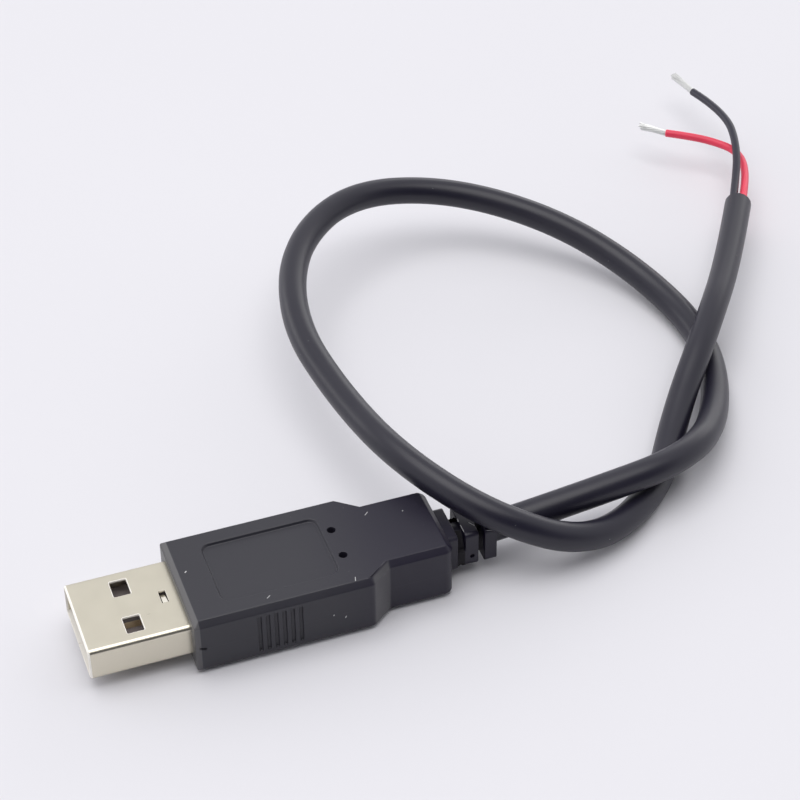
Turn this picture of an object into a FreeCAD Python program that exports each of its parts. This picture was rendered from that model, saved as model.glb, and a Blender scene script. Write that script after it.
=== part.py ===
import FreeCAD, Part
import math
import os

# A short two-wire power lead: a flat rectangular plug with a folded steel nose, a moulded
# grip with a slotted strain relief, a round jacketed cable laid in one crossed loop, and two
# insulated wires with bare strands at its free end.
# Frame: millimetres, origin at the bottom centre of the plug, +X from the plug's mouth
# towards the cable, +Y to the far side, +Z up. The plug lies flat on its underside at z = 0.

Vector = FreeCAD.Vector

# Plug as a whole
plug_length = 51.2
grip_width = 15.3
grip_height = 8.0

# Folded steel shell
shell_width = 12.0
shell_height = 4.5
shell_wall = 0.3
shell_bend_radius = 0.6
shell_exposed = 12.2
shell_held = 6.5
seam_gap = 0.08
seam_lock_length = 2.4
seam_lock_width = 1.6
window_front = 5.1
window_length = 2.05
window_width = 2.6
window_spacing = 6.2
window_corner = 0.15
tab_front = 10.15
tab_length = 0.85
tab_width = 2.0
tab_drop = 0.5
tab_slit = 0.12

# Insulator and contacts
insulator_clearance = 0.02
tongue_setback = 0.3
tongue_height = 1.95
cavity_depth = 9.4
block_length = 5.6
shelf_length = 2.5
pocket_clearance = 0.15
contact_thickness = 0.3
contact_width = 1.0
power_contact_reach = 7.4
data_contact_reach = 6.4
power_contact_spacing = 7.0
data_contact_spacing = 2.0
contact_tail = 2.2
contact_tip = 0.5
contact_tip_drop = 0.35
solder_length = 1.5
solder_width = 1.5
solder_height = 1.2
solder_bevel = 0.4
solder_film = 0.02

# Moulded grip
shoulder_length = 2.65
neck_length = 8.05
neck_width = 11.2
edge_chamfer = 0.7
front_corner_round = 0.3
shoulder_round = 1.0
neck_corner_round = 1.1
recess_front = 4.2
recess_length = 14.4
recess_width = 10.0
recess_depth = 0.35
recess_corner = 1.1
dimple_gap = 1.15
dimple_spacing = 4.5
dimple_diameter = 1.0
dimple_depth = 0.4
groove_count = 6
groove_front = 7.8
groove_pitch = 1.0
groove_width = 0.45
groove_depth = 0.4
groove_margin = 1.25

# Strain relief behind the neck: a collar, then a sleeve with one slot open above and one below
relief_length = 6.5
relief_width = 5.6
relief_height = 5.1
relief_round = 0.6
collar_width = 5.9
collar_height = 5.4
relief_core = 4.5
upper_slot_start = 1.45
upper_slot_length = 1.0
notch_start = 1.0
notch_length = 1.2
notch_depth = 0.65
lower_slot_start = 4.15
lower_slot_length = 0.8
lower_slot_web = 2.4

# Cable and wires
jacket_diameter = 3.7
jacket_held = 13.6
wire_diameter = 1.1
wire_spacing = 1.24
bore_clearance = 0.05
plug_end_bore = 3.0
free_end_bore = 9.2
bend_step = 12.0
strand_bundle_diameter = 0.9

# Points that pull the middle line of the cable, from where it leaves the relief: it passes
# under its own third stretch, over the end stretch, under the end stretch's root, and turns
# back in a loop that leans up over the relief.
cable_route = [
    (25.6, 0, 4.0), (38.3, 0, 5.5), (52.4, 1.1, 6.4), (61.6, 11.4, 2.5), (66.8, 26.5, 1.8),
    (63.8, 41.5, 2.7), (55.4, 52.9, 6.1), (42.8, 61.9, 8.4), (28.6, 62.6, 10.6),
    (17.8, 53.3, 10.9), (12.8, 37.9, 10.9), (14.2, 22.6, 10.3), (17.0, 7.8, 11.3),
    (24.8, -3.7, 9.1), (36.8, -6.1, 2.9), (48.7, 1.4, 1.6), (56.2, 13.0, 3.1),
    (65.3, 23.7, 6.9), (74.4, 36.6, 5.9), (82.0, 49.5, 5.6),
]

# The same for the free wires, measured from the end of the jacket
red_route = [
    (-3.96, -8.1, 0.24), (0.29, -0.74, 0.01), (4.4, 7.0, -0.6), (4.9, 11.5, -0.75),
    (2.5, 14.5, -0.6), (-0.3, 16.4, -0.3), (-3.1, 18.1, -0.2),
]
black_route = [
    (-4.98, -7.38, 0.24), (-0.1, 1.3, 0.05), (4.2, 9.6, 1.1), (6.1, 17.9, 1.4), (4.6, 25.9, 0.3),
]
red_strand_end = (-5.7, 21.3, -0.4)
black_strand_end = (4.1, 31.4, -0.3)

# Places that follow from the sizes above
mouth_x = -plug_length / 2
exit_x = plug_length / 2
axis_z = grip_height / 2
grip_front_x = mouth_x + shell_exposed
neck_rear_x = exit_x - relief_length
shoulder_rear_x = neck_rear_x - neck_length
shoulder_front_x = shoulder_rear_x - shoulder_length
shell_rear_x = grip_front_x + shell_held
shell_top = axis_z + shell_height / 2
shell_floor = axis_z - shell_height / 2 + shell_wall
shell_ceiling = shell_top - shell_wall
tongue_top = shell_floor + insulator_clearance + tongue_height
block_front_x = mouth_x + cavity_depth
block_rear_x = block_front_x + block_length
tail_rear_x = block_rear_x + contact_tail
jacket_start_x = exit_x - jacket_held


def box(x_low, x_high, y_low, y_high, z_low, z_high):
    """Block between two corners."""
    return Part.makeBox(x_high - x_low, y_high - y_low, z_high - z_low, Vector(x_low, y_low, z_low))


def edges_along(shape, direction):
    """Straight edges of a shape that run along one axis."""
    found = []
    for edge in shape.Edges:
        run = edge.lastVertex().Point - edge.firstVertex().Point
        if run.Length > 1e-6 and abs(run.normalize().dot(direction)) > 0.9999:
            found.append(edge)
    return found


def rounded_bar(x_low, x_high, width, height, radius):
    """Bar along X, centred on the plug's axis, with its four long edges rounded."""
    bar = box(x_low, x_high, -width / 2, width / 2, axis_z - height / 2, axis_z + height / 2)
    return bar.makeFillet(radius, edges_along(bar, Vector(1, 0, 0)))


def prism(corners, direction):
    """Closed outline of corner points, pushed along a direction."""
    outline = Part.makePolygon([Vector(*corner) for corner in corners + corners[:1]])
    return Part.Face(outline).extrude(direction)


def joined(solids):
    """One solid from several that meet."""
    return solids[0].multiFuse(solids[1:]).removeSplitter()


def stepped_line(points):
    """Smooth line that a cord takes when the points pull it, in straight steps of a few degrees."""
    inner = len(points) - 3
    line = Part.BSplineCurve()
    line.buildFromPolesMultsKnots(points, [3] + inner * [1] + [3], list(range(inner + 2)), False, 2)
    return line.discretize(Angular=math.radians(bend_step), Curvature=line.length())


def tube(line, diameter):
    """Round rod along a stepped line, mitred at each step so that it stays light."""
    ring = Part.Wire([Part.makeCircle(diameter / 2, line[0], line[1] - line[0])])
    return Part.makePolygon(line).makePipeShell([ring], True, False, 1)


def twin_bore(mouth, inward, sideways, depth):
    """Flat-sided hole that takes the two wires side by side."""
    hole_radius = wire_diameter / 2 + bore_clearance
    start = mouth - inward * hole_radius
    holes = []
    for side in (-1, 1):
        foot = start + sideways * (side * wire_spacing / 2)
        holes.append(Part.makeCylinder(hole_radius, depth + hole_radius, foot, inward))
    upright = sideways.cross(inward)
    corner = start - sideways * (wire_spacing / 2) - upright * hole_radius
    slab = Part.makeBox(wire_spacing, 2 * hole_radius, depth + hole_radius)
    turn = FreeCAD.Rotation(sideways, upright, sideways.cross(upright), "ZXY")
    slab.Placement = FreeCAD.Placement(corner, turn)
    return joined([holes[0], holes[1], slab])


# Cable and wires

def cable_line():
    """Middle line of the cable, from its end inside the grip to its free end."""
    first = Vector(*cable_route[0])
    shift = Vector(exit_x - first.x, 0, 0)
    free = [Vector(*point) + shift for point in cable_route]
    start = Vector(jacket_start_x, 0, axis_z)
    middle = (start + free[0]) / 2
    return stepped_line([start, middle] + free)


def held_line():
    """The stretch of that line that lies in the grip and its relief."""
    line = cable_line()
    beyond = next(number for number, point in enumerate(line) if point.x > exit_x)
    return line[:beyond + 1]


def cable_jacket(wires):
    """Round jacket in its crossed loop, with a hole for the wires at each end."""
    line = cable_line()
    start = line[0]
    end = line[-1]
    outward = (end - line[-2]).normalize()
    sideways = Vector(-outward.y, outward.x, 0).normalize()
    jacket = tube(line, jacket_diameter)
    jacket = jacket.cut(twin_bore(end, outward * -1, sideways, free_end_bore))
    jacket = jacket.cut(twin_bore(start, Vector(1, 0, 0), Vector(0, 1, 0), plug_end_bore))
    return jacket.cut(Part.makeCompound(wires))


def from_free_end(route):
    """Places a route that is measured from the end of the jacket."""
    end = cable_line()[-1]
    return [end + Vector(*point) for point in route]


def free_wire(route):
    """Insulated wire that comes out of the jacket's end."""
    return tube(stepped_line(from_free_end(route)), wire_diameter)


def strands(wire, route, tip):
    """Bare twisted end of a wire."""
    return tube(from_free_end([route[-1], tip]), strand_bundle_diameter).cut(wire)


def wire_lead(side):
    """Wire from its solder joint to the hole in the jacket's end, inside the grip."""
    wire_z = tongue_top + solder_film + wire_diameter / 2
    pad_y = side * power_contact_spacing / 2
    jacket_y = side * wire_spacing / 2
    fan = jacket_start_x - shell_rear_x
    points = [
        Vector(tail_rear_x - solder_length / 4, pad_y, wire_z),
        Vector(shell_rear_x + 0.15 * fan, pad_y * 0.97, wire_z),
        Vector(shell_rear_x + 0.6 * fan, jacket_y * 1.7, axis_z),
        Vector(jacket_start_x + plug_end_bore - bore_clearance, jacket_y, axis_z),
    ]
    return tube(stepped_line(points), wire_diameter)


# Plug

def shell_envelope(x_low, x_high):
    """Outside of the shell as a solid bar."""
    return rounded_bar(x_low, x_high, shell_width, shell_height, shell_bend_radius)


def shell_inside(x_low, x_high, clearance):
    """Inside of the shell as a solid bar, less a clearance all round."""
    gap = 2 * (shell_wall + clearance)
    radius = shell_bend_radius - shell_wall
    return rounded_bar(x_low, x_high, shell_width - gap, shell_height - gap, radius)


def window_tool(side):
    """Square hole through both broad walls of the shell."""
    centre_y = side * window_spacing / 2
    front = mouth_x + window_front
    hole = box(front, front + window_length, centre_y - window_width / 2, centre_y + window_width / 2,
               0, grip_height)
    return hole.makeFillet(window_corner, edges_along(hole, Vector(0, 0, 1)))


def seam_tool():
    """Slit where the folded sheet meets itself, with one dovetail lock."""
    lock_x = mouth_x + shell_exposed / 2
    half = seam_lock_length / 2
    neck = seam_lock_length / 4
    path = [
        (mouth_x - 1, 0), (lock_x - neck, 0), (lock_x - half, seam_lock_width),
        (lock_x + half, seam_lock_width), (lock_x + neck, 0), (shell_rear_x + 1, 0),
    ]
    line = Part.makePolygon([Vector(x, y, 0) for x, y in path])
    outline = line.makeOffset2D(seam_gap / 2, 2, False, False, True)
    return Part.Face(outline).extrude(Vector(0, 0, shell_floor + shell_wall))


def plug_shell():
    """Folded sheet shell with four latch windows, a seam below and a lanced tab above."""
    shell = shell_envelope(mouth_x, shell_rear_x).cut(shell_inside(mouth_x - 1, shell_rear_x + 1, 0))
    for side in (-1, 1):
        shell = shell.cut(window_tool(side))
    shell = shell.cut(seam_tool())
    front = mouth_x + tab_front
    rear = front + tab_length
    near = -tab_width / 2
    far = tab_width / 2
    shell = shell.cut(box(front, rear, near, far, shell_ceiling - shell_wall, shell_top + 1))
    reach = far - tab_slit
    tab = prism([
        (front + tab_slit, near, shell_top), (front + tab_slit, reach, shell_top - tab_drop),
        (front + tab_slit, reach, shell_ceiling - tab_drop), (front + tab_slit, near, shell_ceiling),
    ], Vector(tab_length - 2 * tab_slit, 0, 0))
    return joined([shell, tab])


def contact(reach, y):
    """Flat contact: its tip dips into the tongue, its tail ends behind the block."""
    front = block_front_x - reach
    strip = prism([
        (front, y, tongue_top - contact_tip_drop), (front + contact_tip, y, tongue_top),
        (tail_rear_x, y, tongue_top), (tail_rear_x, y, tongue_top - contact_thickness),
        (front + contact_tip, y, tongue_top - contact_thickness),
        (front, y, tongue_top - contact_tip_drop - contact_thickness),
    ], Vector(0, contact_width, 0))
    strip.translate(Vector(0, -contact_width / 2, 0))
    return strip


def contacts():
    """The four contacts by name, numbered across the plug as the standard has them."""
    power = power_contact_spacing / 2
    data = data_contact_spacing / 2
    return {
        "contact_vbus": contact(power_contact_reach, -power),
        "contact_data_minus": contact(data_contact_reach, -data),
        "contact_data_plus": contact(data_contact_reach, data),
        "contact_ground": contact(power_contact_reach, power),
    }


def contact_insulator(strips):
    """Tongue in the lower half of the shell, with the block and shelf behind it."""
    shelf_rear = block_rear_x + shelf_length
    core = shell_inside(mouth_x + tongue_setback, shelf_rear, insulator_clearance)
    core = core.cut(box(mouth_x - 1, block_front_x, -shell_width, shell_width, tongue_top, shell_top))
    shelf_top = tongue_top - contact_thickness
    core = core.cut(box(block_rear_x, shelf_rear + 1, -shell_width, shell_width, shelf_top, shell_top))
    front = mouth_x + tab_front - pocket_clearance
    rear = front + tab_length + 2 * pocket_clearance
    reach = tab_width / 2 + pocket_clearance
    pocket_floor = shell_ceiling - tab_drop - pocket_clearance
    core = core.cut(box(front, rear, -reach, reach, pocket_floor, shell_top))
    return core.cut(Part.makeCompound(strips))


def solder_joint(side, lead):
    """Blob that holds a wire on its contact's tail."""
    rear = tail_rear_x - solder_length / 8
    centre_y = side * power_contact_spacing / 2
    blob = box(rear - solder_length, rear, centre_y - solder_width / 2, centre_y + solder_width / 2,
               tongue_top, tongue_top + solder_height)
    upper = [edge for edge in blob.Edges if edge.CenterOfMass.z > tongue_top + solder_height / 4]
    return blob.makeChamfer(solder_bevel, upper).cut(lead)


def upright_edges(body, x):
    """Upright edges of the grip's corners at one place along it."""
    return [edge for edge in edges_along(body, Vector(0, 0, 1)) if abs(edge.CenterOfMass.x - x) < 0.01]


def grip_body():
    """Grip with its shoulders and neck, with flat chamfers all round above and below."""
    grip_half = grip_width / 2
    neck_half = neck_width / 2
    near = [
        (grip_front_x, -grip_half, 0), (shoulder_front_x, -grip_half, 0),
        (shoulder_rear_x, -neck_half, 0), (neck_rear_x, -neck_half, 0),
    ]
    far = [(x, -y, z) for x, y, z in reversed(near)]
    body = prism(near + far, Vector(0, 0, grip_height))
    body = body.makeFillet(shoulder_round, upright_edges(body, shoulder_front_x))
    body = body.makeFillet(neck_corner_round, upright_edges(body, neck_rear_x))
    rims = [edge for edge in body.Edges if edge.CenterOfMass.z < 0.01
            or edge.CenterOfMass.z > grip_height - 0.01]
    body = body.makeChamfer(edge_chamfer, rims)
    return body.makeFillet(front_corner_round, upright_edges(body, grip_front_x))


def strain_relief():
    """Collar and sleeve round the cable, with slots cut down to a round core."""
    upper_start = neck_rear_x + upper_slot_start
    upper_end = upper_start + upper_slot_length
    collar = rounded_bar(neck_rear_x - edge_chamfer, upper_start, collar_width, collar_height, relief_round)
    sleeve = rounded_bar(neck_rear_x, exit_x, relief_width, relief_height, relief_round)
    core = Part.makeCylinder(relief_core / 2, relief_length, Vector(neck_rear_x, 0, axis_z),
                             Vector(1, 0, 0))
    upper = box(upper_start, upper_end, -grip_width, grip_width, axis_z, grip_height)
    low = axis_z - collar_height / 2
    notch_front = neck_rear_x + notch_start
    notch = prism([
        (notch_front, -grip_width, low), (notch_front + notch_length, -grip_width, low),
        (notch_front + 0.75 * notch_length, -grip_width, low + notch_depth),
    ], Vector(0, 2 * grip_width, 0))
    lower_start = neck_rear_x + lower_slot_start
    lower_end = lower_start + lower_slot_length
    lower = box(lower_start, lower_end, -grip_width, grip_width, 0, grip_height)
    web = box(lower_start, lower_end, -lower_slot_web / 2, lower_slot_web / 2, axis_z, grip_height)
    return joined([collar, sleeve]).cut(upper.cut(core)).cut(notch.cut(core)).cut(lower.cut(core).cut(web))


def recess_tool():
    """Shallow panel in the top of the grip."""
    front = grip_front_x + recess_front
    panel = box(front, front + recess_length, -recess_width / 2, recess_width / 2,
                grip_height - recess_depth, grip_height + 1)
    return panel.makeFillet(recess_corner, edges_along(panel, Vector(0, 0, 1)))


def dimple_tools():
    """Two round marks behind the panel."""
    x = grip_front_x + recess_front + recess_length + dimple_gap
    marks = []
    for side in (-1, 1):
        foot = Vector(x, side * dimple_spacing / 2, grip_height - dimple_depth)
        marks.append(Part.makeCylinder(dimple_diameter / 2, 1, foot))
    return marks


def groove_tools():
    """Finger grooves, the same row on both sides of the grip."""
    cuts = []
    for number in range(groove_count):
        front = grip_front_x + groove_front + number * groove_pitch - groove_width / 2
        for side in (-1, 1):
            outer = side * (grip_width / 2 + 1)
            inner = side * (grip_width / 2 - groove_depth)
            cuts.append(box(front, front + groove_width, min(outer, inner), max(outer, inner),
                            groove_margin, grip_height - groove_margin))
    return cuts


def overmould(held):
    """Grip and strain relief in one moulding, cast round what it holds."""
    body = joined([grip_body(), strain_relief()])
    cuts = [recess_tool()] + dimple_tools() + groove_tools()
    body = body.cut(Part.makeCompound(cuts))
    return body.cut(shell_envelope(grip_front_x - 1, shell_rear_x)).cut(Part.makeCompound(held))


def build():
    """Every piece of the lead, by name."""
    parts = contacts()
    parts["contact_insulator"] = contact_insulator(list(parts.values()))
    parts["plug_shell"] = plug_shell()
    leads = {"red_wire_lead": wire_lead(-1), "black_wire_lead": wire_lead(1)}
    parts["solder_joint_vbus"] = solder_joint(-1, leads["red_wire_lead"])
    parts["solder_joint_ground"] = solder_joint(1, leads["black_wire_lead"])
    held = tube(held_line(), jacket_diameter)
    parts["overmould_grip"] = overmould([held] + list(leads.values()))
    red_wire = free_wire(red_route)
    black_wire = free_wire(black_route)
    parts["cable_jacket"] = cable_jacket(list(leads.values()) + [red_wire, black_wire])
    parts["red_wire"] = red_wire
    parts["black_wire"] = black_wire
    parts["red_wire_strands"] = strands(red_wire, red_route, red_strand_end)
    parts["black_wire_strands"] = strands(black_wire, black_route, black_strand_end)
    parts.update(leads)
    return parts


os.makedirs("parts", exist_ok=True)
for name, shape in build().items():
    print(name, shape.ShapeType, len(shape.Solids), shape.isValid(), "volume %.2f" % shape.Volume)
    shape.exportStep("parts/" + name + ".step")
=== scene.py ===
"""Looks of a short two-wire power lead with a flat steel-nosed plug and a bare-wire end."""
import math
import random

import bpy
from mathutils import Matrix, Vector


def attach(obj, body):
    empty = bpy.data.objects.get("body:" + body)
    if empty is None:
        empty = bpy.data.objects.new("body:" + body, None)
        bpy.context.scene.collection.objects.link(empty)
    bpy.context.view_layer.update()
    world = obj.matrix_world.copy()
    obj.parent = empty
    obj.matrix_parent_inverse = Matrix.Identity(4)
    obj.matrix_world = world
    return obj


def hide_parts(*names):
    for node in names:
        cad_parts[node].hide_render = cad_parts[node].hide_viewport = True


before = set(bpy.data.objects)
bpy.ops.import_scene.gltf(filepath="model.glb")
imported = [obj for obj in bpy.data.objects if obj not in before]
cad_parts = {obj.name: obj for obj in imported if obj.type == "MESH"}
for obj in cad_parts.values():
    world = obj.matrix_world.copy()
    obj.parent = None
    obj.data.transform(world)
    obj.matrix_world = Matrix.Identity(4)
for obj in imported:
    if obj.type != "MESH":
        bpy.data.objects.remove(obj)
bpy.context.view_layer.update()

MM = 0.001

# Camera, fitted to the photograph's own corners

CAMERA_PLACE = Vector((-55.87, -206.40, 214.92)) * MM
CAMERA_RIGHT = Vector((0.94363, -0.33083, -0.01030))
CAMERA_DOWN = Vector((-0.22286, -0.61205, -0.75877))
CAMERA_FORWARD = Vector((0.24472, 0.71830, -0.65128))
FOCAL_PIXELS = 2521.7
PHOTO_PIXELS = 800
SENSOR_WIDTH = 36.0
CLIP_START = 0.01
CLIP_END = 10.0


def link(name, data):
    """New object in the scene."""
    made = bpy.data.objects.new(name, data)
    bpy.context.scene.collection.objects.link(made)
    return made


def add_camera():
    """Camera that looks as the photograph's did."""
    data = bpy.data.cameras.new("camera")
    data.sensor_width = SENSOR_WIDTH
    data.lens = SENSOR_WIDTH * FOCAL_PIXELS / PHOTO_PIXELS
    data.clip_start = CLIP_START
    data.clip_end = CLIP_END
    camera = link("camera", data)
    turn = Matrix((CAMERA_RIGHT, -CAMERA_DOWN, -CAMERA_FORWARD)).transposed().to_4x4()
    camera.matrix_world = Matrix.Translation(CAMERA_PLACE) @ turn
    bpy.context.scene.camera = camera


add_camera()

# Sizes of the plug and the cable, as in the CAD, in metres

PLUG_HALF = 25.6 * MM
AXIS_Z = 4.0 * MM
JACKET_DIAMETER = 3.7 * MM
WIRE_DIAMETER = 1.1 * MM

# Route points of the cords, in millimetres, as in the CAD; those of the wires and of the
# strands' tips are measured from the end of the jacket

HELD_ROUTE = [(12.0, 0, 4.0), (18.8, 0, 4.0)]
CABLE_ROUTE = [
    (25.6, 0, 4.0), (38.3, 0, 5.5), (52.4, 1.1, 6.4), (61.6, 11.4, 2.5), (66.8, 26.5, 1.8),
    (63.8, 41.5, 2.7), (55.4, 52.9, 6.1), (42.8, 61.9, 8.4), (28.6, 62.6, 10.6),
    (17.8, 53.3, 10.9), (12.8, 37.9, 10.9), (14.2, 22.6, 10.3), (17.0, 7.8, 11.3),
    (24.8, -3.7, 9.1), (36.8, -6.1, 2.9), (48.7, 1.4, 1.6), (56.2, 13.0, 3.1),
    (65.3, 23.7, 6.9), (74.4, 36.6, 5.9), (82.0, 49.5, 5.6),
]
RED_ROUTE = [
    (-3.96, -8.1, 0.24), (0.29, -0.74, 0.01), (4.4, 7.0, -0.6), (4.9, 11.5, -0.75),
    (2.5, 14.5, -0.6), (-0.3, 16.4, -0.3), (-3.1, 18.1, -0.2),
]
BLACK_ROUTE = [
    (-4.98, -7.38, 0.24), (-0.1, 1.3, 0.05), (4.2, 9.6, 1.1), (6.1, 17.9, 1.4), (4.6, 25.9, 0.3),
]
RED_STRAND_TIP = (-5.7, 21.3, -0.4)
BLACK_STRAND_TIP = (4.1, 31.4, -0.3)
JACKET_END = Vector(CABLE_ROUTE[-1])

# Small helpers for modelling as by hand

SAME_PLACE = 0.001 * MM
SAME_FACE = 0.01 * MM
SAME_WAY = 0.9
FLAT_ENOUGH = math.radians(0.5)


def choose(piece):
    """Makes one piece the only selected one."""
    bpy.ops.object.select_all(action="DESELECT")
    piece.select_set(True)
    bpy.context.view_layer.objects.active = piece


def clear_selection(piece, kind):
    """Sets the kind of element for edit mode and leaves nothing selected."""
    choose(piece)
    bpy.ops.object.mode_set(mode="EDIT")
    bpy.ops.mesh.select_mode(type=kind)
    bpy.ops.mesh.select_all(action="DESELECT")
    bpy.ops.object.mode_set(mode="OBJECT")


def select_faces(piece, wanted):
    """Enters edit mode with the faces that pass a test."""
    clear_selection(piece, "FACE")
    for face in piece.data.polygons:
        face.select = wanted(face)
    bpy.ops.object.mode_set(mode="EDIT")


def select_edges(piece, wanted):
    """Enters edit mode with the edges whose two end points both pass a test."""
    clear_selection(piece, "EDGE")
    points = piece.data.vertices
    for line in piece.data.edges:
        line.select = all(wanted(points[number].co) for number in line.vertices)
    bpy.ops.object.mode_set(mode="EDIT")


def select_everything(piece, kind):
    """Enters edit mode with the whole piece, as elements of one kind."""
    clear_selection(piece, kind)
    bpy.ops.object.mode_set(mode="EDIT")
    bpy.ops.mesh.select_all(action="SELECT")


def leave_edit():
    """Goes back to object mode, so that the edits count."""
    bpy.ops.object.mode_set(mode="OBJECT")


def weld(piece, distance):
    """Joins the points of a piece that lie together."""
    select_everything(piece, "VERT")
    bpy.ops.mesh.remove_doubles(threshold=distance)
    leave_edit()


def modify(piece, kind, settings):
    """Adds a modifier and applies it."""
    choose(piece)
    modifier = piece.modifiers.new(kind.lower(), kind)
    for setting, value in settings.items():
        setattr(modifier, setting, value)
    bpy.ops.object.modifier_apply(modifier=modifier.name)


def block(low, high, turn):
    """Box between two corners, turned about its middle across the plug, to cut with."""
    bpy.ops.mesh.primitive_cube_add(size=1, location=(low + high) / 2, rotation=(0, turn, 0))
    made = bpy.context.object
    made.scale = high - low
    bpy.ops.object.transform_apply(location=True, rotation=True, scale=True)
    return made


def cut(piece, tool):
    """Cuts a tool out of a piece, and removes the tool."""
    modify(piece, "BOOLEAN", {"operation": "DIFFERENCE", "solver": "EXACT", "object": tool})
    bpy.data.objects.remove(tool)


def soften(piece, width, degrees):
    """Rounds all edges sharper than an angle by a small width."""
    modify(piece, "BEVEL", {
        "width": width, "segments": 2, "limit_method": "ANGLE", "angle_limit": math.radians(degrees),
        "use_clamp_overlap": False})


def smooth(piece, degrees):
    """Shades a piece smooth up to an angle, with its large faces kept flat."""
    choose(piece)
    bpy.ops.object.shade_smooth_by_angle(angle=math.radians(degrees))
    modify(piece, "WEIGHTED_NORMAL", {"mode": "FACE_AREA", "weight": 50, "keep_sharp": True})


def dressed_copy(node, name):
    """Piece that starts as a clean copy of a CAD solid and stands for it."""
    piece = link(name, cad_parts[node].data.copy())
    piece.data.materials.clear()
    weld(piece, SAME_PLACE)
    select_everything(piece, "VERT")
    bpy.ops.mesh.dissolve_limited(angle_limit=FLAT_ENOUGH)
    bpy.ops.mesh.normals_make_consistent(inside=False)
    leave_edit()
    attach(piece, "root")
    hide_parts(node)
    return piece


# Cords

CORD_STEPS = 16
CORD_CORNERS = 6
CORD_WELD = 0.002 * MM


def add_spline(data, points):
    """Adds a smooth line that its points pull."""
    spline = data.splines.new("NURBS")
    spline.points.add(len(points) - 1)
    for control, point in zip(spline.points, points):
        control.co = (*point, 1)
    spline.order_u = 3
    spline.use_endpoint_u = True


def round_curve(name, diameter, steps, corners):
    """Empty curve that gives its splines a round section."""
    data = bpy.data.curves.new(name, "CURVE")
    data.dimensions = "3D"
    data.resolution_u = steps
    data.bevel_depth = diameter / 2
    data.bevel_resolution = corners
    data.use_fill_caps = True
    return data


def nurbs(name, points, diameter):
    """Smooth round cord, pulled by its points."""
    data = round_curve(name, diameter, CORD_STEPS, CORD_CORNERS)
    add_spline(data, points)
    return link(name, data)


def middle_line(cord):
    """Points along a cord's own smooth line."""
    depth = cord.data.bevel_depth
    cord.data.bevel_depth = 0
    graph = bpy.context.evaluated_depsgraph_get()
    line = bpy.data.meshes.new_from_object(cord.evaluated_get(graph))
    points = [point.co.copy() for point in line.vertices]
    bpy.data.meshes.remove(line)
    cord.data.bevel_depth = depth
    return points


def to_mesh(cord):
    """Turns a curve into a welded mesh."""
    choose(cord)
    bpy.ops.object.convert(target="MESH")
    weld(cord, CORD_WELD)


END_REACH = 0.5 * MM


def select_end(cord, line):
    """Enters edit mode with the flat end face of a cord, and gives the direction out of it."""
    end = line[-1]
    outward = (end - line[-2]).normalized()
    select_faces(cord, lambda face: (face.center - end).length < END_REACH
                 and abs(face.normal.dot(outward)) > SAME_WAY)
    return outward


JACKET_CUT_BACK = 1.4 * MM
JACKET_SHOULDER = 0.65 * MM
JACKET_RIM = 0.2 * MM
JACKET_MOUTH_DEPTH = 2.0 * MM


def cable_jacket():
    """Jacket as a tube, with a rounded shoulder and an open mouth where the wires come out."""
    jacket = nurbs("cable", [Vector(point) * MM for point in HELD_ROUTE + CABLE_ROUTE], JACKET_DIAMETER)
    line = middle_line(jacket)
    to_mesh(jacket)
    outward = (line[-1] - line[-2]).normalized()
    end = line[-1] - outward * JACKET_CUT_BACK
    line = [point for point in line if (point - line[-1]).length > JACKET_CUT_BACK] + [end]
    select_everything(jacket, "FACE")
    bpy.ops.mesh.bisect(plane_co=end, plane_no=outward, use_fill=True, clear_outer=True)
    leave_edit()
    select_end(jacket, line)
    bpy.ops.mesh.bevel(offset=JACKET_SHOULDER, segments=5, affect="EDGES")
    leave_edit()
    select_end(jacket, line)
    bpy.ops.mesh.inset(thickness=JACKET_RIM, depth=0)
    inward = -outward * JACKET_MOUTH_DEPTH
    bpy.ops.mesh.extrude_region_move(TRANSFORM_OT_translate={"value": inward})
    leave_edit()
    smooth(jacket, degrees=40)
    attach(jacket, "root")
    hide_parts("cable_jacket")
    return jacket


WIRE_END_ROUND = 0.13 * MM


def from_jacket_end(point):
    """Place of a point that is measured in millimetres from the end of the jacket."""
    return (JACKET_END + Vector(point)) * MM


def core_wire(colour, route):
    """One insulated wire with its cut end."""
    points = [from_jacket_end(point) for point in route]
    wire = nurbs(f"{colour}_core_wire", points, WIRE_DIAMETER)
    line = middle_line(wire)
    to_mesh(wire)
    outward = select_end(wire, line)
    bpy.ops.mesh.inset(thickness=WIRE_END_ROUND, depth=0)
    bpy.ops.transform.translate(value=outward * WIRE_END_ROUND)
    leave_edit()
    smooth(wire, degrees=40)
    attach(wire, "root")
    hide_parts(f"{colour}_wire")
    return wire


STRAND_DIAMETER = 0.24 * MM
STRAND_ROOT = 0.32 * MM
STRAND_TIP = 0.5 * MM
STRAND_INSIDE = 0.6 * MM
STRAND_STEPS = 5
STRAND_TURN = 1.5
STRAND_STRAY = (0.9, 1.15)
STRAND_REACH = (0.96, 1.02)
STRAND_SLANT = 0.06
STRAND_FLATTENING = 0.25

# Rings of strands about the middle one: share of the bundle's radius, and number of strands
STRAND_RINGS = ((0.0, 1), (0.5, 6), (1.0, 12))


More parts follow.
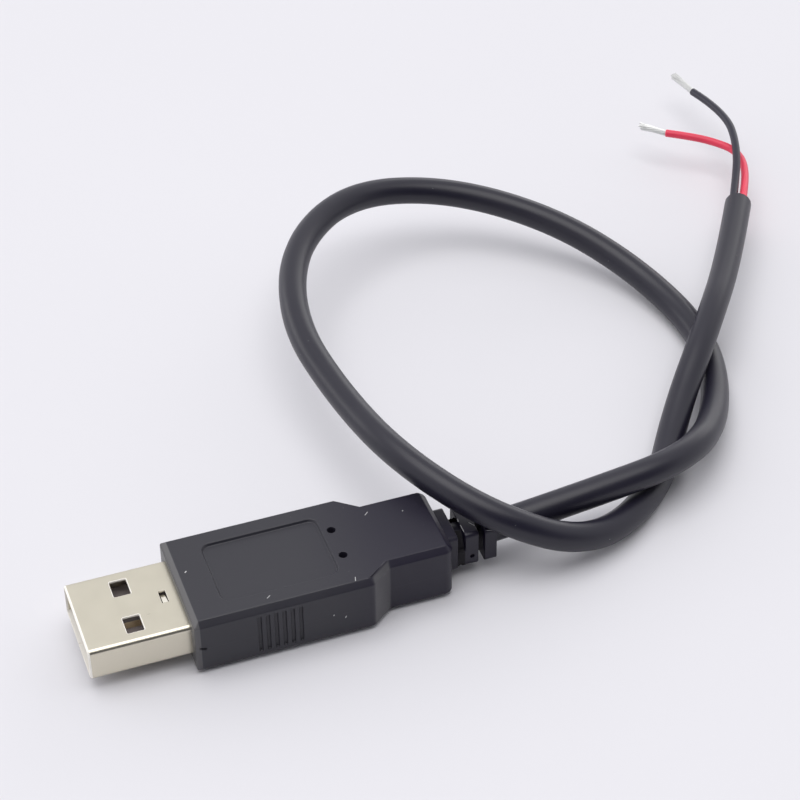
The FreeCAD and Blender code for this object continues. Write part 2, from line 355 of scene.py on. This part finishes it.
def strand_bundle(colour, route, tip, seed):
    """Bare strands that leave the insulation in a loose twist and fan out at the tip."""
    chance = random.Random(seed)
    before, root, end = [from_jacket_end(point) for point in route[-2:] + [tip]]
    inward = (before - root).normalized() * STRAND_INSIDE
    run = end - root
    side = run.cross(Vector((0, 0, 1))).normalized()
    up = side.cross(run).normalized()
    data = round_curve(f"{colour}_bare_strands", STRAND_DIAMETER, steps=6, corners=2)
    for share, count in STRAND_RINGS:
        for number in range(count):
            start = math.tau * number / count
            tip_radius = STRAND_TIP * chance.uniform(*STRAND_STRAY)
            reach = chance.uniform(*STRAND_REACH) + share * STRAND_SLANT * math.cos(start)
            points = [root + inward]
            for step in range(STRAND_STEPS + 1):
                along = step / STRAND_STEPS
                turn = start + STRAND_TURN * along
                radius = share * (STRAND_ROOT + (tip_radius - STRAND_ROOT) * along * along)
                offset = side * math.cos(turn) + up * math.sin(turn) * (1.0 - STRAND_FLATTENING * along)
                points.append(root + run * along * reach + offset * radius)
            add_spline(data, points)
    bundle = link(data.name, data)
    to_mesh(bundle)
    smooth(bundle, degrees=40)
    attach(bundle, "root")
    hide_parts(f"{colour}_wire_strands")
    return bundle


# Plug

SHELL_EDGE = 0.05 * MM
SHELL_HALF_HEIGHT = 2.25 * MM
LIP_ROUND = 0.25 * MM
LIP_HALF_WIDTH = 5.75 * MM
LIP_HALF_HEIGHT = 2.0 * MM
PUNCH_ROUND = 0.12 * MM
WINDOWS_FRONT = -20.8 * MM
WINDOWS_REAR = -18.1 * MM
WINDOWS_HALF_WIDTH = 5.0 * MM


def on_outer_lip(point):
    """Whether a point lies on the outer edge of the nose's mouth."""
    outside = abs(point.y) > LIP_HALF_WIDTH or abs(point.z - AXIS_Z) > LIP_HALF_HEIGHT
    return point.x < -PLUG_HALF + SAME_PLACE and outside


def on_window_rim(point):
    """Whether a point lies on the outer rim of a latch window."""
    on_skin = abs(abs(point.z - AXIS_Z) - SHELL_HALF_HEIGHT) < SAME_PLACE
    return on_skin and WINDOWS_FRONT < point.x < WINDOWS_REAR and abs(point.y) < WINDOWS_HALF_WIDTH


def plug_nose():
    """Folded steel nose, its mouth rounded and its cut edges broken."""
    nose = dressed_copy("plug_shell", "plug_nose")
    select_edges(nose, on_outer_lip)
    bpy.ops.mesh.bevel(offset=LIP_ROUND, segments=4, affect="EDGES", clamp_overlap=False)
    leave_edit()
    select_edges(nose, on_window_rim)
    bpy.ops.mesh.bevel(offset=PUNCH_ROUND, segments=3, affect="EDGES", clamp_overlap=False)
    leave_edit()
    soften(nose, SHELL_EDGE, degrees=50)
    smooth(nose, degrees=35)
    return nose


GRIP_EDGE = 0.11 * MM
RECESS_FLOOR = 7.65 * MM
RECESS_REAR = 5.2 * MM
RECESS_SLOPE = (0.975, 0.965, 1)
DIMPLE_X = 6.35 * MM
DIMPLE_REACH = 3.0 * MM
DIMPLE_FLOORS = (7.0 * MM, 7.9 * MM)
DIMPLE_DROP = 0.7 * MM
GROOVE_FLOOR = 7.25 * MM
GROOVE_LIFT = 0.13 * MM
PIN_HOLE = Vector((22.44, -2.8, 2.94)) * MM
PIN_HOLE_RADIUS = 0.27 * MM
PIN_HOLE_DEPTH = 0.4 * MM
NICK = Vector((-12.5, -7.65, 4.0)) * MM
NICK_REACH = Vector((0.45, 0.25, 0.15)) * MM
NICK_TURN = math.radians(20)


def is_dimple_floor(face):
    """Whether a face is the floor of one of the two dimples behind the panel."""
    low, high = DIMPLE_FLOORS
    near = abs(face.center.x - DIMPLE_X) < 0.1 * MM and abs(face.center.y) < DIMPLE_REACH
    return near and low < face.center.z < high and face.normal.z > SAME_WAY


def is_recess_floor(face):
    """Whether a face is the floor of the shallow panel in the grip's top."""
    level = abs(face.center.z - RECESS_FLOOR) < SAME_FACE
    return level and face.center.x < RECESS_REAR and face.normal.z > SAME_WAY


def grip():
    """Moulded grip and relief with softened edges, a core-pin mark and a nick in its parting line."""
    body = dressed_copy("overmould_grip", "moulded_grip")
    select_faces(body, is_dimple_floor)
    bpy.ops.transform.translate(value=(0, 0, -DIMPLE_DROP))
    leave_edit()
    select_faces(body, is_recess_floor)
    bpy.ops.transform.resize(value=RECESS_SLOPE)
    leave_edit()
    for side in (-1, 1):
        select_faces(body, lambda face: abs(face.center.y - side * GROOVE_FLOOR) < SAME_FACE
                     and face.normal.y * side > SAME_WAY)
        bpy.ops.transform.translate(value=(0, side * GROOVE_LIFT, 0))
        leave_edit()
    bpy.ops.mesh.primitive_cylinder_add(vertices=24, radius=PIN_HOLE_RADIUS, depth=2 * PIN_HOLE_DEPTH,
                                        location=PIN_HOLE, rotation=(math.radians(90), 0, 0))
    cut(body, bpy.context.object)
    cut(body, block(NICK - NICK_REACH, NICK + NICK_REACH, NICK_TURN))
    soften(body, GRIP_EDGE, degrees=30)
    smooth(body, degrees=30)
    return body


TONGUE_FRONT = -25.0 * MM
TONGUE_SET_BACK = 1.2 * MM


def tongue():
    """Plastic tongue whose front stands back from the nose's mouth."""
    piece = dressed_copy("contact_insulator", "tongue")
    select_faces(piece, lambda face: face.center.x < TONGUE_FRONT and face.normal.x < -SAME_WAY)
    bpy.ops.transform.translate(value=(TONGUE_SET_BACK, 0, 0))
    leave_edit()
    smooth(piece, degrees=30)
    return piece


# Materials

# Colour sockets of a Mix node: what lies under, what lies over, and the result
MIX_UNDER = 6
MIX_OVER = 7
MIX_RESULT = 2


class Sum:
    """Value in a shader tree; arithmetic on it adds Math nodes."""

    def __init__(self, coat, socket):
        self.coat = coat
        self.socket = socket

    def maths(self, operation, *others):
        """Adds a Math node on this value and others."""
        inputs = dict(enumerate((self, *others)))
        return Sum(self.coat, self.coat.add("ShaderNodeMath", {"operation": operation}, inputs).outputs[0])

    def __add__(self, other):
        return self.maths("ADD", other)

    __radd__ = __add__

    def __sub__(self, other):
        return self.maths("SUBTRACT", other)

    def __rsub__(self, other):
        return (self * -1.0) + other

    def __mul__(self, other):
        return self.maths("MULTIPLY", other)

    __rmul__ = __mul__

    def __gt__(self, other):
        return self.maths("GREATER_THAN", other)

    def __lt__(self, other):
        return self.maths("LESS_THAN", other)

    def __abs__(self):
        return self.maths("ABSOLUTE")

    def most(self, other):
        """The larger of two values."""
        return self.maths("MAXIMUM", other)

    def least(self, other):
        """The smaller of two values."""
        return self.maths("MINIMUM", other)

    def within(self, low, high):
        """One from low to high, and zero beyond."""
        return (self > low) * (self < high)

    def between(self, low, high):
        """Zero up to low, one from high, and a smooth step between."""
        inputs = {"Value": self, "From Min": low, "From Max": high}
        made = self.coat.add("ShaderNodeMapRange", {"interpolation_type": "SMOOTHSTEP"}, inputs)
        return Sum(self.coat, made.outputs[0])


class Shading:
    """Node tree of a material or of the surroundings."""

    def __init__(self, tree, shader, place):
        self.tree = tree
        self.shader = tree.nodes[shader]
        self.place = self.add("ShaderNodeTexCoord", {}, {}).outputs[place]

    def connect(self, value, socket):
        """Links a value into a socket, or sets it there if it is plain."""
        if isinstance(value, Sum):
            value = value.socket
        if isinstance(value, bpy.types.NodeSocket):
            self.tree.links.new(value, socket)
        else:
            socket.default_value = value

    def add(self, kind, settings, inputs):
        """Adds a node: its type, its settings, and its sockets by name or number."""
        made = self.tree.nodes.new(kind)
        for setting, value in settings.items():
            setattr(made, setting, value)
        for socket, value in inputs.items():
            self.connect(value, made.inputs[socket])
        return made

    def set(self, name, value):
        """Feeds an input of the shader."""
        self.connect(value, self.shader.inputs[name])

    def vector(self, operation, first, second):
        """Adds a node that works on two vectors."""
        return self.add("ShaderNodeVectorMath", {"operation": operation}, {0: first, 1: second})

    def blend(self, factor, under, over):
        """Colour that goes from one to another with a factor; the one under may be a socket."""
        if isinstance(under, tuple):
            under = (*under, 1)
        inputs = {"Factor": factor, MIX_UNDER: under, MIX_OVER: (*over, 1)}
        return self.add("ShaderNodeMix", {"data_type": "RGBA"}, inputs).outputs[MIX_RESULT]


class Coat(Shading):
    """One procedural material on a Principled shader."""

    def __init__(self, name, metallic=0.0):
        self.material = bpy.data.materials.new(name)
        self.material.use_nodes = True
        super().__init__(self.material.node_tree, "Principled BSDF", "Object")
        self.set("Metallic", metallic)

    def axes(self):
        """The three coordinates of a place on the object."""
        made = self.add("ShaderNodeSeparateXYZ", {}, {0: self.place})
        return [Sum(self, made.outputs[number]) for number in range(3)]

    def noise(self, size, detail=3.0, stretch=(1, 1, 1)):
        """Cloudy value from 0 to 1, whose blots are about this large."""
        place = self.vector("MULTIPLY", self.place, tuple(factor / size for factor in stretch))
        inputs = {"Vector": place.outputs[0], "Scale": 1.0, "Detail": detail}
        return Sum(self, self.add("ShaderNodeTexNoise", {}, inputs).outputs[0])

    def specks(self, spacing, size, left_out=0.72):
        """One at scattered small spots, a share of them left out, and zero between them."""
        made = self.add("ShaderNodeTexVoronoi", {}, {"Vector": self.place, "Scale": 1.0 / spacing})
        shade = self.add("ShaderNodeSeparateColor", {}, {0: made.outputs["Color"]})
        kept = Sum(self, shade.outputs[0]) > left_out
        return (Sum(self, made.outputs["Distance"]) < size / spacing) * kept

    def scratch(self, start, end, width):
        """One along a short line between two points, in millimetres, and zero beyond its width."""
        start = Vector(start) * MM
        run = Vector(end) * MM - start
        away = self.vector("SUBTRACT", self.place, start).outputs[0]
        share = Sum(self, self.vector("DOT_PRODUCT", away, run).outputs["Value"]) * (1 / run.length_squared)
        along = share.most(0.0).least(1.0)
        foot = self.add("ShaderNodeVectorMath", {"operation": "SCALE"}, {0: run, "Scale": along})
        gap = Sum(self, self.vector("DISTANCE", away, foot.outputs[0]).outputs["Value"])
        return 1.0 - gap.between(0.4 * width * MM, width * MM)

    def bump(self, height, depth):
        """Relief in the surface, its depth in metres."""
        self.set("Normal", self.add("ShaderNodeBump", {}, {"Height": height, "Distance": depth}).outputs[0])


# Where the nose's sheet is painted pale and dull: the cut edges at the windows, tab and lip, raw steel with
# a painted highlight on them, and the inside of the mouth's floor, painted light that comes in at the mouth
WINDOW_EDGE_Z = (5.93 * MM, 6.245 * MM)
WINDOW_EDGE_Y = 5.3 * MM
TAB_FRONT = -17.0 * MM
MOUTH_REAR = -24.2 * MM
MOUTH_TOP = 2.2 * MM
MOUTH_Y = 5.8 * MM
LIP_REAR = -25.35 * MM


def steel_coat():
    """Satin nickel plate with faint rolling lines, paler and duller where the sheet is cut, with a painted
    highlight on the cut edges and painted light inside the mouth.
    """
    coat = Coat("nickel_plate", 1.0)
    rolling = coat.noise(0.12 * MM, detail=2.0, stretch=(0.06, 1, 1))
    cloud = coat.noise(2.6 * MM)
    x, y, z = coat.axes()
    windows = z.within(*WINDOW_EDGE_Z) * (abs(y) < WINDOW_EDGE_Y) * (1.0 - (x > TAB_FRONT) * 0.45)
    mouth = (x < MOUTH_REAR) * (z < MOUTH_TOP) * (abs(y) < MOUTH_Y)
    # Pale, dull steel: raw cut edges with a painted highlight, and painted light on the mouth's floor
    pale_cut_and_painted_highlight = windows.most(mouth).most(x < LIP_REAR)
    plate = coat.blend(cloud, (0.66, 0.62, 0.51), (0.70, 0.66, 0.55))
    coat.set("Base Color", coat.blend(pale_cut_and_painted_highlight, plate, (0.97, 0.94, 0.87)))
    coat.set("Metallic", 1.0 - pale_cut_and_painted_highlight * 0.95)
    coat.set("Roughness", 0.22 + cloud * 0.10 + rolling * 0.08 + pale_cut_and_painted_highlight * 0.3)
    coat.bump(rolling, 0.0012 * MM)
    return coat.material


# Pale marks on the grip and its relief, scuffs and one painted highlight: two ends and a half width, in
# millimetres
SCUFFS_AND_PAINTED_HIGHLIGHT = [
    ((10.95, 3.3, 8.0), (11.4, 3.7, 8.0), 0.055), ((6.5, -6.3, 8.0), (6.35, -6.85, 8.0), 0.06),
    ((-11.95, 1.2, 8.0), (-11.8, 1.35, 8.0), 0.1), ((-4.15, -6.1, 8.0), (-3.75, -5.8, 8.0), 0.06),
    ((15.4, 2.45, 8.0), (15.45, 2.5, 8.0), 0.08), ((3.32, -7.65, 4.0), (3.36, -7.65, 4.1), 0.09),
    ((4.75, -7.65, 3.2), (4.85, -7.65, 3.4), 0.09), ((10.6, -5.8, 6.1), (10.62, -5.8, 4.8), 0.05),
    ((21.62, 0.3, 6.53), (21.62, -0.1, 6.53), 0.09), ((21.62, -0.8, 6.53), (21.62, -2.1, 6.5), 0.055),
    # The mark from (22.7, -0.7) to (23.2, -1.5) on the relief is a painted highlight
    ((22.7, -0.7, 6.55), (23.2, -1.5, 6.55), 0.05), ((24.1, -2.6, 6.45), (25.4, -2.75, 6.2), 0.05),
]

# Zones of the grip, each from and to, in metres
# Painted shade: the neck darkens under the cable's loop, with a painted dark reflection of the cable
NECK_PAINTED_SHADE = (0.0, 14 * MM)
PARTING_EDGE = (0.01 * MM, 0.05 * MM)
PARTING_Y = (5.3 * MM, 5.4 * MM)
# The shoulders' outer faces and the front are painted lighter: wear, and a painted highlight where these
# faces turn to the light
SHOULDER_LEAN = 0.774
SHOULDER_SKIN = (13.3 * MM, 13.6 * MM)
SHOULDER_STARTS = (8.3 * MM, 8.7 * MM)
SHOULDER_ENDS = (10.8 * MM, 11.2 * MM)
FRONT_ENDS = (-12.8 * MM, -12.65 * MM)
# Painted shade: the relief's slots are coloured nearly black and made dull
UPPER_SLOT = (20.6 * MM, 21.5 * MM)
LOWER_SLOT = (23.3 * MM, 24.0 * MM)


def grip_coat():
    """Black moulded plastic: matt grain, shoulders and front lighter from wear and a painted highlight, a
    parting line, pale scuffs and one painted highlight, painted shade on the neck and in the slots.
    """
    coat = Coat("moulded_black")
    grain = coat.noise(0.09 * MM)
    cloud = coat.noise(4.0 * MM, detail=4.0)
    scuff_and_highlight = coat.specks(spacing=0.9 * MM, size=0.03 * MM) * 0.3
    for start, end, width in SCUFFS_AND_PAINTED_HIGHLIGHT:
        scuff_and_highlight = scuff_and_highlight.most(coat.scratch(start, end, width))
    x, y, z = coat.axes()
    parting = (1.0 - abs(z - AXIS_Z).between(*PARTING_EDGE)) * abs(y).between(*PARTING_Y)
    shoulder = (abs(y) + x * SHOULDER_LEAN).between(*SHOULDER_SKIN)
    shoulder = shoulder * x.between(*SHOULDER_STARTS) * (1.0 - x.between(*SHOULDER_ENDS))
    front = 1.0 - x.between(*FRONT_ENDS)
    rubbed_and_painted_highlight = front.most(shoulder * 0.65) * (0.6 + cloud * 0.8)
    slot_painted_shade = x.within(*UPPER_SLOT) + x.within(*LOWER_SLOT)
    # Painted shade: darker towards the neck and relief
    tone = coat.blend(x.between(*NECK_PAINTED_SHADE), (0.022, 0.0215, 0.030), (0.006, 0.004, 0.017))
    tone = coat.blend(rubbed_and_painted_highlight, tone, (0.095, 0.093, 0.098))
    tone = coat.blend(slot_painted_shade, tone, (0.004, 0.003, 0.006))
    coat.set("Base Color", coat.blend(scuff_and_highlight * 0.8, tone, (0.62, 0.62, 0.62)))
    coat.set("Roughness", 0.34 + cloud * 0.12 + grain * 0.06 + slot_painted_shade * 0.4)
    coat.bump(grain * 0.7 + parting * 0.5, 0.012 * MM)
    return coat.material


def jacket_coat():
    """Satin black jacket: smooth skin with slow waves and a little pale dust."""
    coat = Coat("jacket_black")
    grain = coat.noise(0.12 * MM)
    cloud = coat.noise(5.0 * MM)
    dust = coat.specks(spacing=1.5 * MM, size=0.05 * MM)
    tone = coat.blend(cloud, (0.008, 0.007, 0.018), (0.014, 0.013, 0.024))
    coat.set("Base Color", coat.blend(dust * 0.45, tone, (0.6, 0.6, 0.6)))
    coat.set("Roughness", 0.30 + cloud * 0.08 + grain * 0.06)
    coat.bump(grain, 0.006 * MM)
    return coat.material


def insulation_coat(name, first, second):
    """Thin coloured insulation: satin, with a slightly uneven skin."""
    coat = Coat(name)
    grain = coat.noise(0.1 * MM, detail=2.0)
    coat.set("Base Color", coat.blend(coat.noise(1.6 * MM), first, second))
    coat.set("Roughness", 0.32 + grain * 0.14)
    coat.bump(grain, 0.004 * MM)
    return coat.material


def metal_coat(name, first, second, rough, blot):
    """Plated or soldered metal with an uneven skin."""
    coat = Coat(name, 1.0)
    cloud = coat.noise(blot)
    coat.set("Base Color", coat.blend(cloud, first, second))
    coat.set("Roughness", rough + cloud * 0.15)
    coat.bump(cloud, 0.008 * MM)
    return coat.material


def insulator_coat():
    """Dark plastic of the tongue inside the nose."""
    coat = Coat("tongue_plastic")
    grain = coat.noise(0.15 * MM)
    coat.set("Base Color", coat.blend(grain, (0.19, 0.165, 0.165), (0.23, 0.20, 0.20)))
    coat.set("Roughness", 0.42 + grain * 0.14)
    coat.bump(grain, 0.006 * MM)
    return coat.material


def floor_coat():
    """Plain pale paper."""
    coat = Coat("paper")
    cloud = coat.noise(60 * MM, detail=2.0)
    coat.set("Base Color", coat.blend(cloud, (0.735, 0.730, 0.765), (0.750, 0.745, 0.780)))
    coat.set("Roughness", 0.9)
    return coat.material


def wear(material, *pieces):
    """Gives pieces a material."""
    for piece in pieces:
        piece.data.materials.clear()
        piece.data.materials.append(material)


# The object

red_strands = strand_bundle("red", RED_ROUTE, RED_STRAND_TIP, seed=5)
black_strands = strand_bundle("black", BLACK_ROUTE, BLACK_STRAND_TIP, seed=8)
cable = cable_jacket()
red_wire = core_wire("red", RED_ROUTE)
black_wire = core_wire("black", BLACK_ROUTE)

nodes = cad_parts
wear(jacket_coat(), cable)
wear(grip_coat(), grip())
wear(steel_coat(), plug_nose())
wear(insulation_coat("red_insulation", (0.74, 0.035, 0.085), (0.84, 0.050, 0.105)),
     red_wire, nodes["red_wire_lead"])
wear(insulation_coat("black_insulation", (0.010, 0.009, 0.022), (0.016, 0.014, 0.030)),
     black_wire, nodes["black_wire_lead"])
wear(metal_coat("tinned_strand", (0.56, 0.57, 0.56), (0.76, 0.76, 0.75), rough=0.34, blot=0.4 * MM),
     red_strands, black_strands)
wear(metal_coat("gold_flash", (0.62, 0.50, 0.34), (0.70, 0.57, 0.40), rough=0.3, blot=0.5 * MM),
     nodes["contact_vbus"], nodes["contact_data_minus"], nodes["contact_data_plus"], nodes["contact_ground"])
wear(metal_coat("solder_blob", (0.60, 0.60, 0.62), (0.72, 0.72, 0.73), rough=0.25, blot=0.6 * MM),
     nodes["solder_joint_vbus"], nodes["solder_joint_ground"])
wear(insulator_coat(), tongue())

# Table and light

FLOOR_SIZE = 4.0
FLOOR_LEVEL = -0.02 * MM
LAMP_COLOUR = (1.0, 0.99, 0.98)

# Rectangular soft lamps: name, place, target and size in metres, power in watts
LAMPS = [
    ("top_softbox", (-0.05, -0.02, 0.9), (0.03, 0.03, 0), (1.0, 0.7), 4.75),
    ("back_softbox", (-0.78, 0.9, 0.34), (0.0, 0.0, 0), (0.8, 0.4), 1.5),
    ("right_softbox", (0.85, 0.85, 0.3), (0.03, 0.03, 0), (0.9, 0.5), 1.8),
]

# The room: pale all round, but dark about one direction, towards the camera's side above the table
DARK_WAY = (0.05, -0.87, 0.48)
DARK_EDGE = (0.55, 0.88)
PALE_ROOM = (0.84, 0.84, 0.865)
DARK_ROOM = (0.07, 0.07, 0.08)


def add_floor():
    """Flat table under the object."""
    bpy.ops.mesh.primitive_plane_add(size=FLOOR_SIZE, location=(0, 0, FLOOR_LEVEL))
    floor = bpy.context.object
    floor.name = "floor"
    wear(floor_coat(), floor)


def add_lamp(name, place, target, size, power):
    """Rectangular soft lamp that faces a target."""
    data = bpy.data.lights.new(name, "AREA")
    data.shape = "RECTANGLE"
    data.size, data.size_y = size
    data.energy = power
    data.color = LAMP_COLOUR
    lamp = link(name, data)
    lamp.location = place
    lamp.rotation_euler = (Vector(target) - Vector(place)).to_track_quat("-Z", "Y").to_euler()


def add_surroundings():
    """Bright room that is dark on the camera's side, above the table."""
    world = bpy.data.worlds.new("studio")
    bpy.context.scene.world = world
    world.use_nodes = True
    sky = Shading(world.node_tree, "Background", "Generated")
    facing = Sum(sky, sky.vector("DOT_PRODUCT", sky.place, DARK_WAY).outputs["Value"])
    sky.set("Color", sky.blend(facing.between(*DARK_EDGE), PALE_ROOM, DARK_ROOM))
    sky.set("Strength", 1.0)


add_floor()
for lamp_values in LAMPS:
    add_lamp(*lamp_values)
add_surroundings()

bpy.context.scene.view_settings.view_transform = "Standard"
